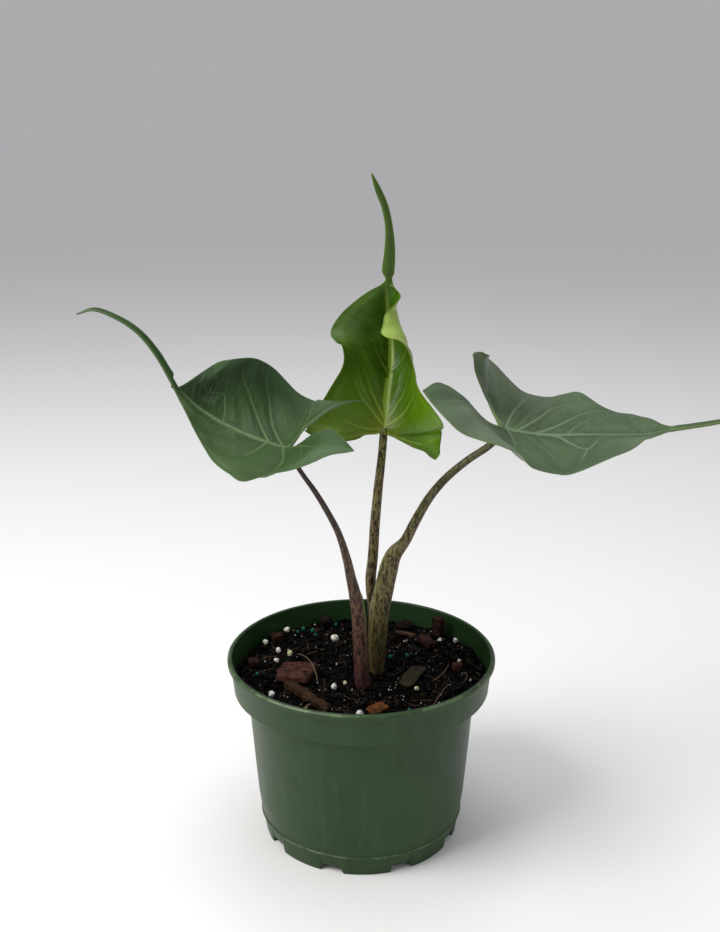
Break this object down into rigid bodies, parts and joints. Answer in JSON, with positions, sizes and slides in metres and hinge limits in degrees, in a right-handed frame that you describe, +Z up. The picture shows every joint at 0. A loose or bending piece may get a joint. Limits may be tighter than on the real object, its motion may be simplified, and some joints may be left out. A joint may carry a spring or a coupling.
{
  "type": "potted alocasia",
  "caption": "Young alocasia with arrow-shaped, long-tailed leaves on mottled stalks, in a round green nursery pot with a lipped rim.",
  "frame": {"origin": "centre of the flat pad in the middle of the pot's underside, on the pot's axis, at the level the pot stands on", "axes": "+Z up along the pot's axis, -Y towards the front, +X towards the leaf that reaches out to the right"},
  "size_m": [0.3549, 0.1853, 0.3712],
  "materials": {
    "pot": "mid green moulded plastic, satin, slightly translucent-looking, with fine scuffs",
    "growing_mix": "moist near-black peat and bark mix, granular, matt",
    "corm": "rough brown tuber skin, matt",
    "petiole_left": "pinkish brown stalk with dark mottling, satin",
    "petiole_center": "olive brown stalk with dark mottling, satin",
    "petiole_right": "olive khaki stalk with dark mottling, satin",
    "leaf_left": "dark blue-green leaf with pale green veins, matt",
    "leaf_center": "bright yellow-green young leaf with pale veins, waxy gloss",
    "leaf_right": "grey blue-green leaf with pale green veins, matt",
    "perlite": "white porous perlite grain, matt",
    "fertiliser": "teal coated slow-release fertiliser prill, satin",
    "bark": "reddish brown pine bark, matt",
    "clod": "dark clump of peat, matt",
    "leaf_litter": "dry olive brown leaf fragment, matt",
    "fibre": "thin pale plant fibre, matt"
  },
  "bodies": {
    "root": {"pot": "pot", "growing_mix": "growing_mix", "corm": "corm", "petiole_left": "petiole_left", "petiole_center": "petiole_center", "petiole_right": "petiole_right", "blade_left": "leaf_left", "blade_center": "leaf_center", "blade_right": "leaf_right", "perlite_01": "perlite", "perlite_02": "perlite", "perlite_03": "perlite", "perlite_04": "perlite", "perlite_05": "perlite", "perlite_06": "perlite", "perlite_07": "perlite", "perlite_08": "perlite", "perlite_09": "perlite", "perlite_10": "perlite", "perlite_11": "perlite", "perlite_12": "perlite", "perlite_13": "perlite", "perlite_14": "perlite", "fertiliser_1": "fertiliser", "fertiliser_2": "fertiliser", "fertiliser_3": "fertiliser", "fertiliser_4": "fertiliser", "fertiliser_5": "fertiliser", "fertiliser_6": "fertiliser", "fertiliser_7": "fertiliser", "fertiliser_8": "fertiliser", "fertiliser_9": "fertiliser", "bark_chip_1": "bark", "bark_chip_2": "bark", "bark_chip_3": "bark", "bark_chip_4": "bark", "bark_chip_5": "bark", "bark_chip_6": "bark", "bark_strip_1": "bark", "bark_strip_2": "bark", "clod_1": "clod", "clod_2": "clod", "leaf_litter_1": "leaf_litter", "leaf_litter_2": "leaf_litter", "fibre_1": "fibre", "fibre_2": "fibre", "fibre_3": "fibre", "fibre_4": "fibre"}
  },
  "joints": []
}
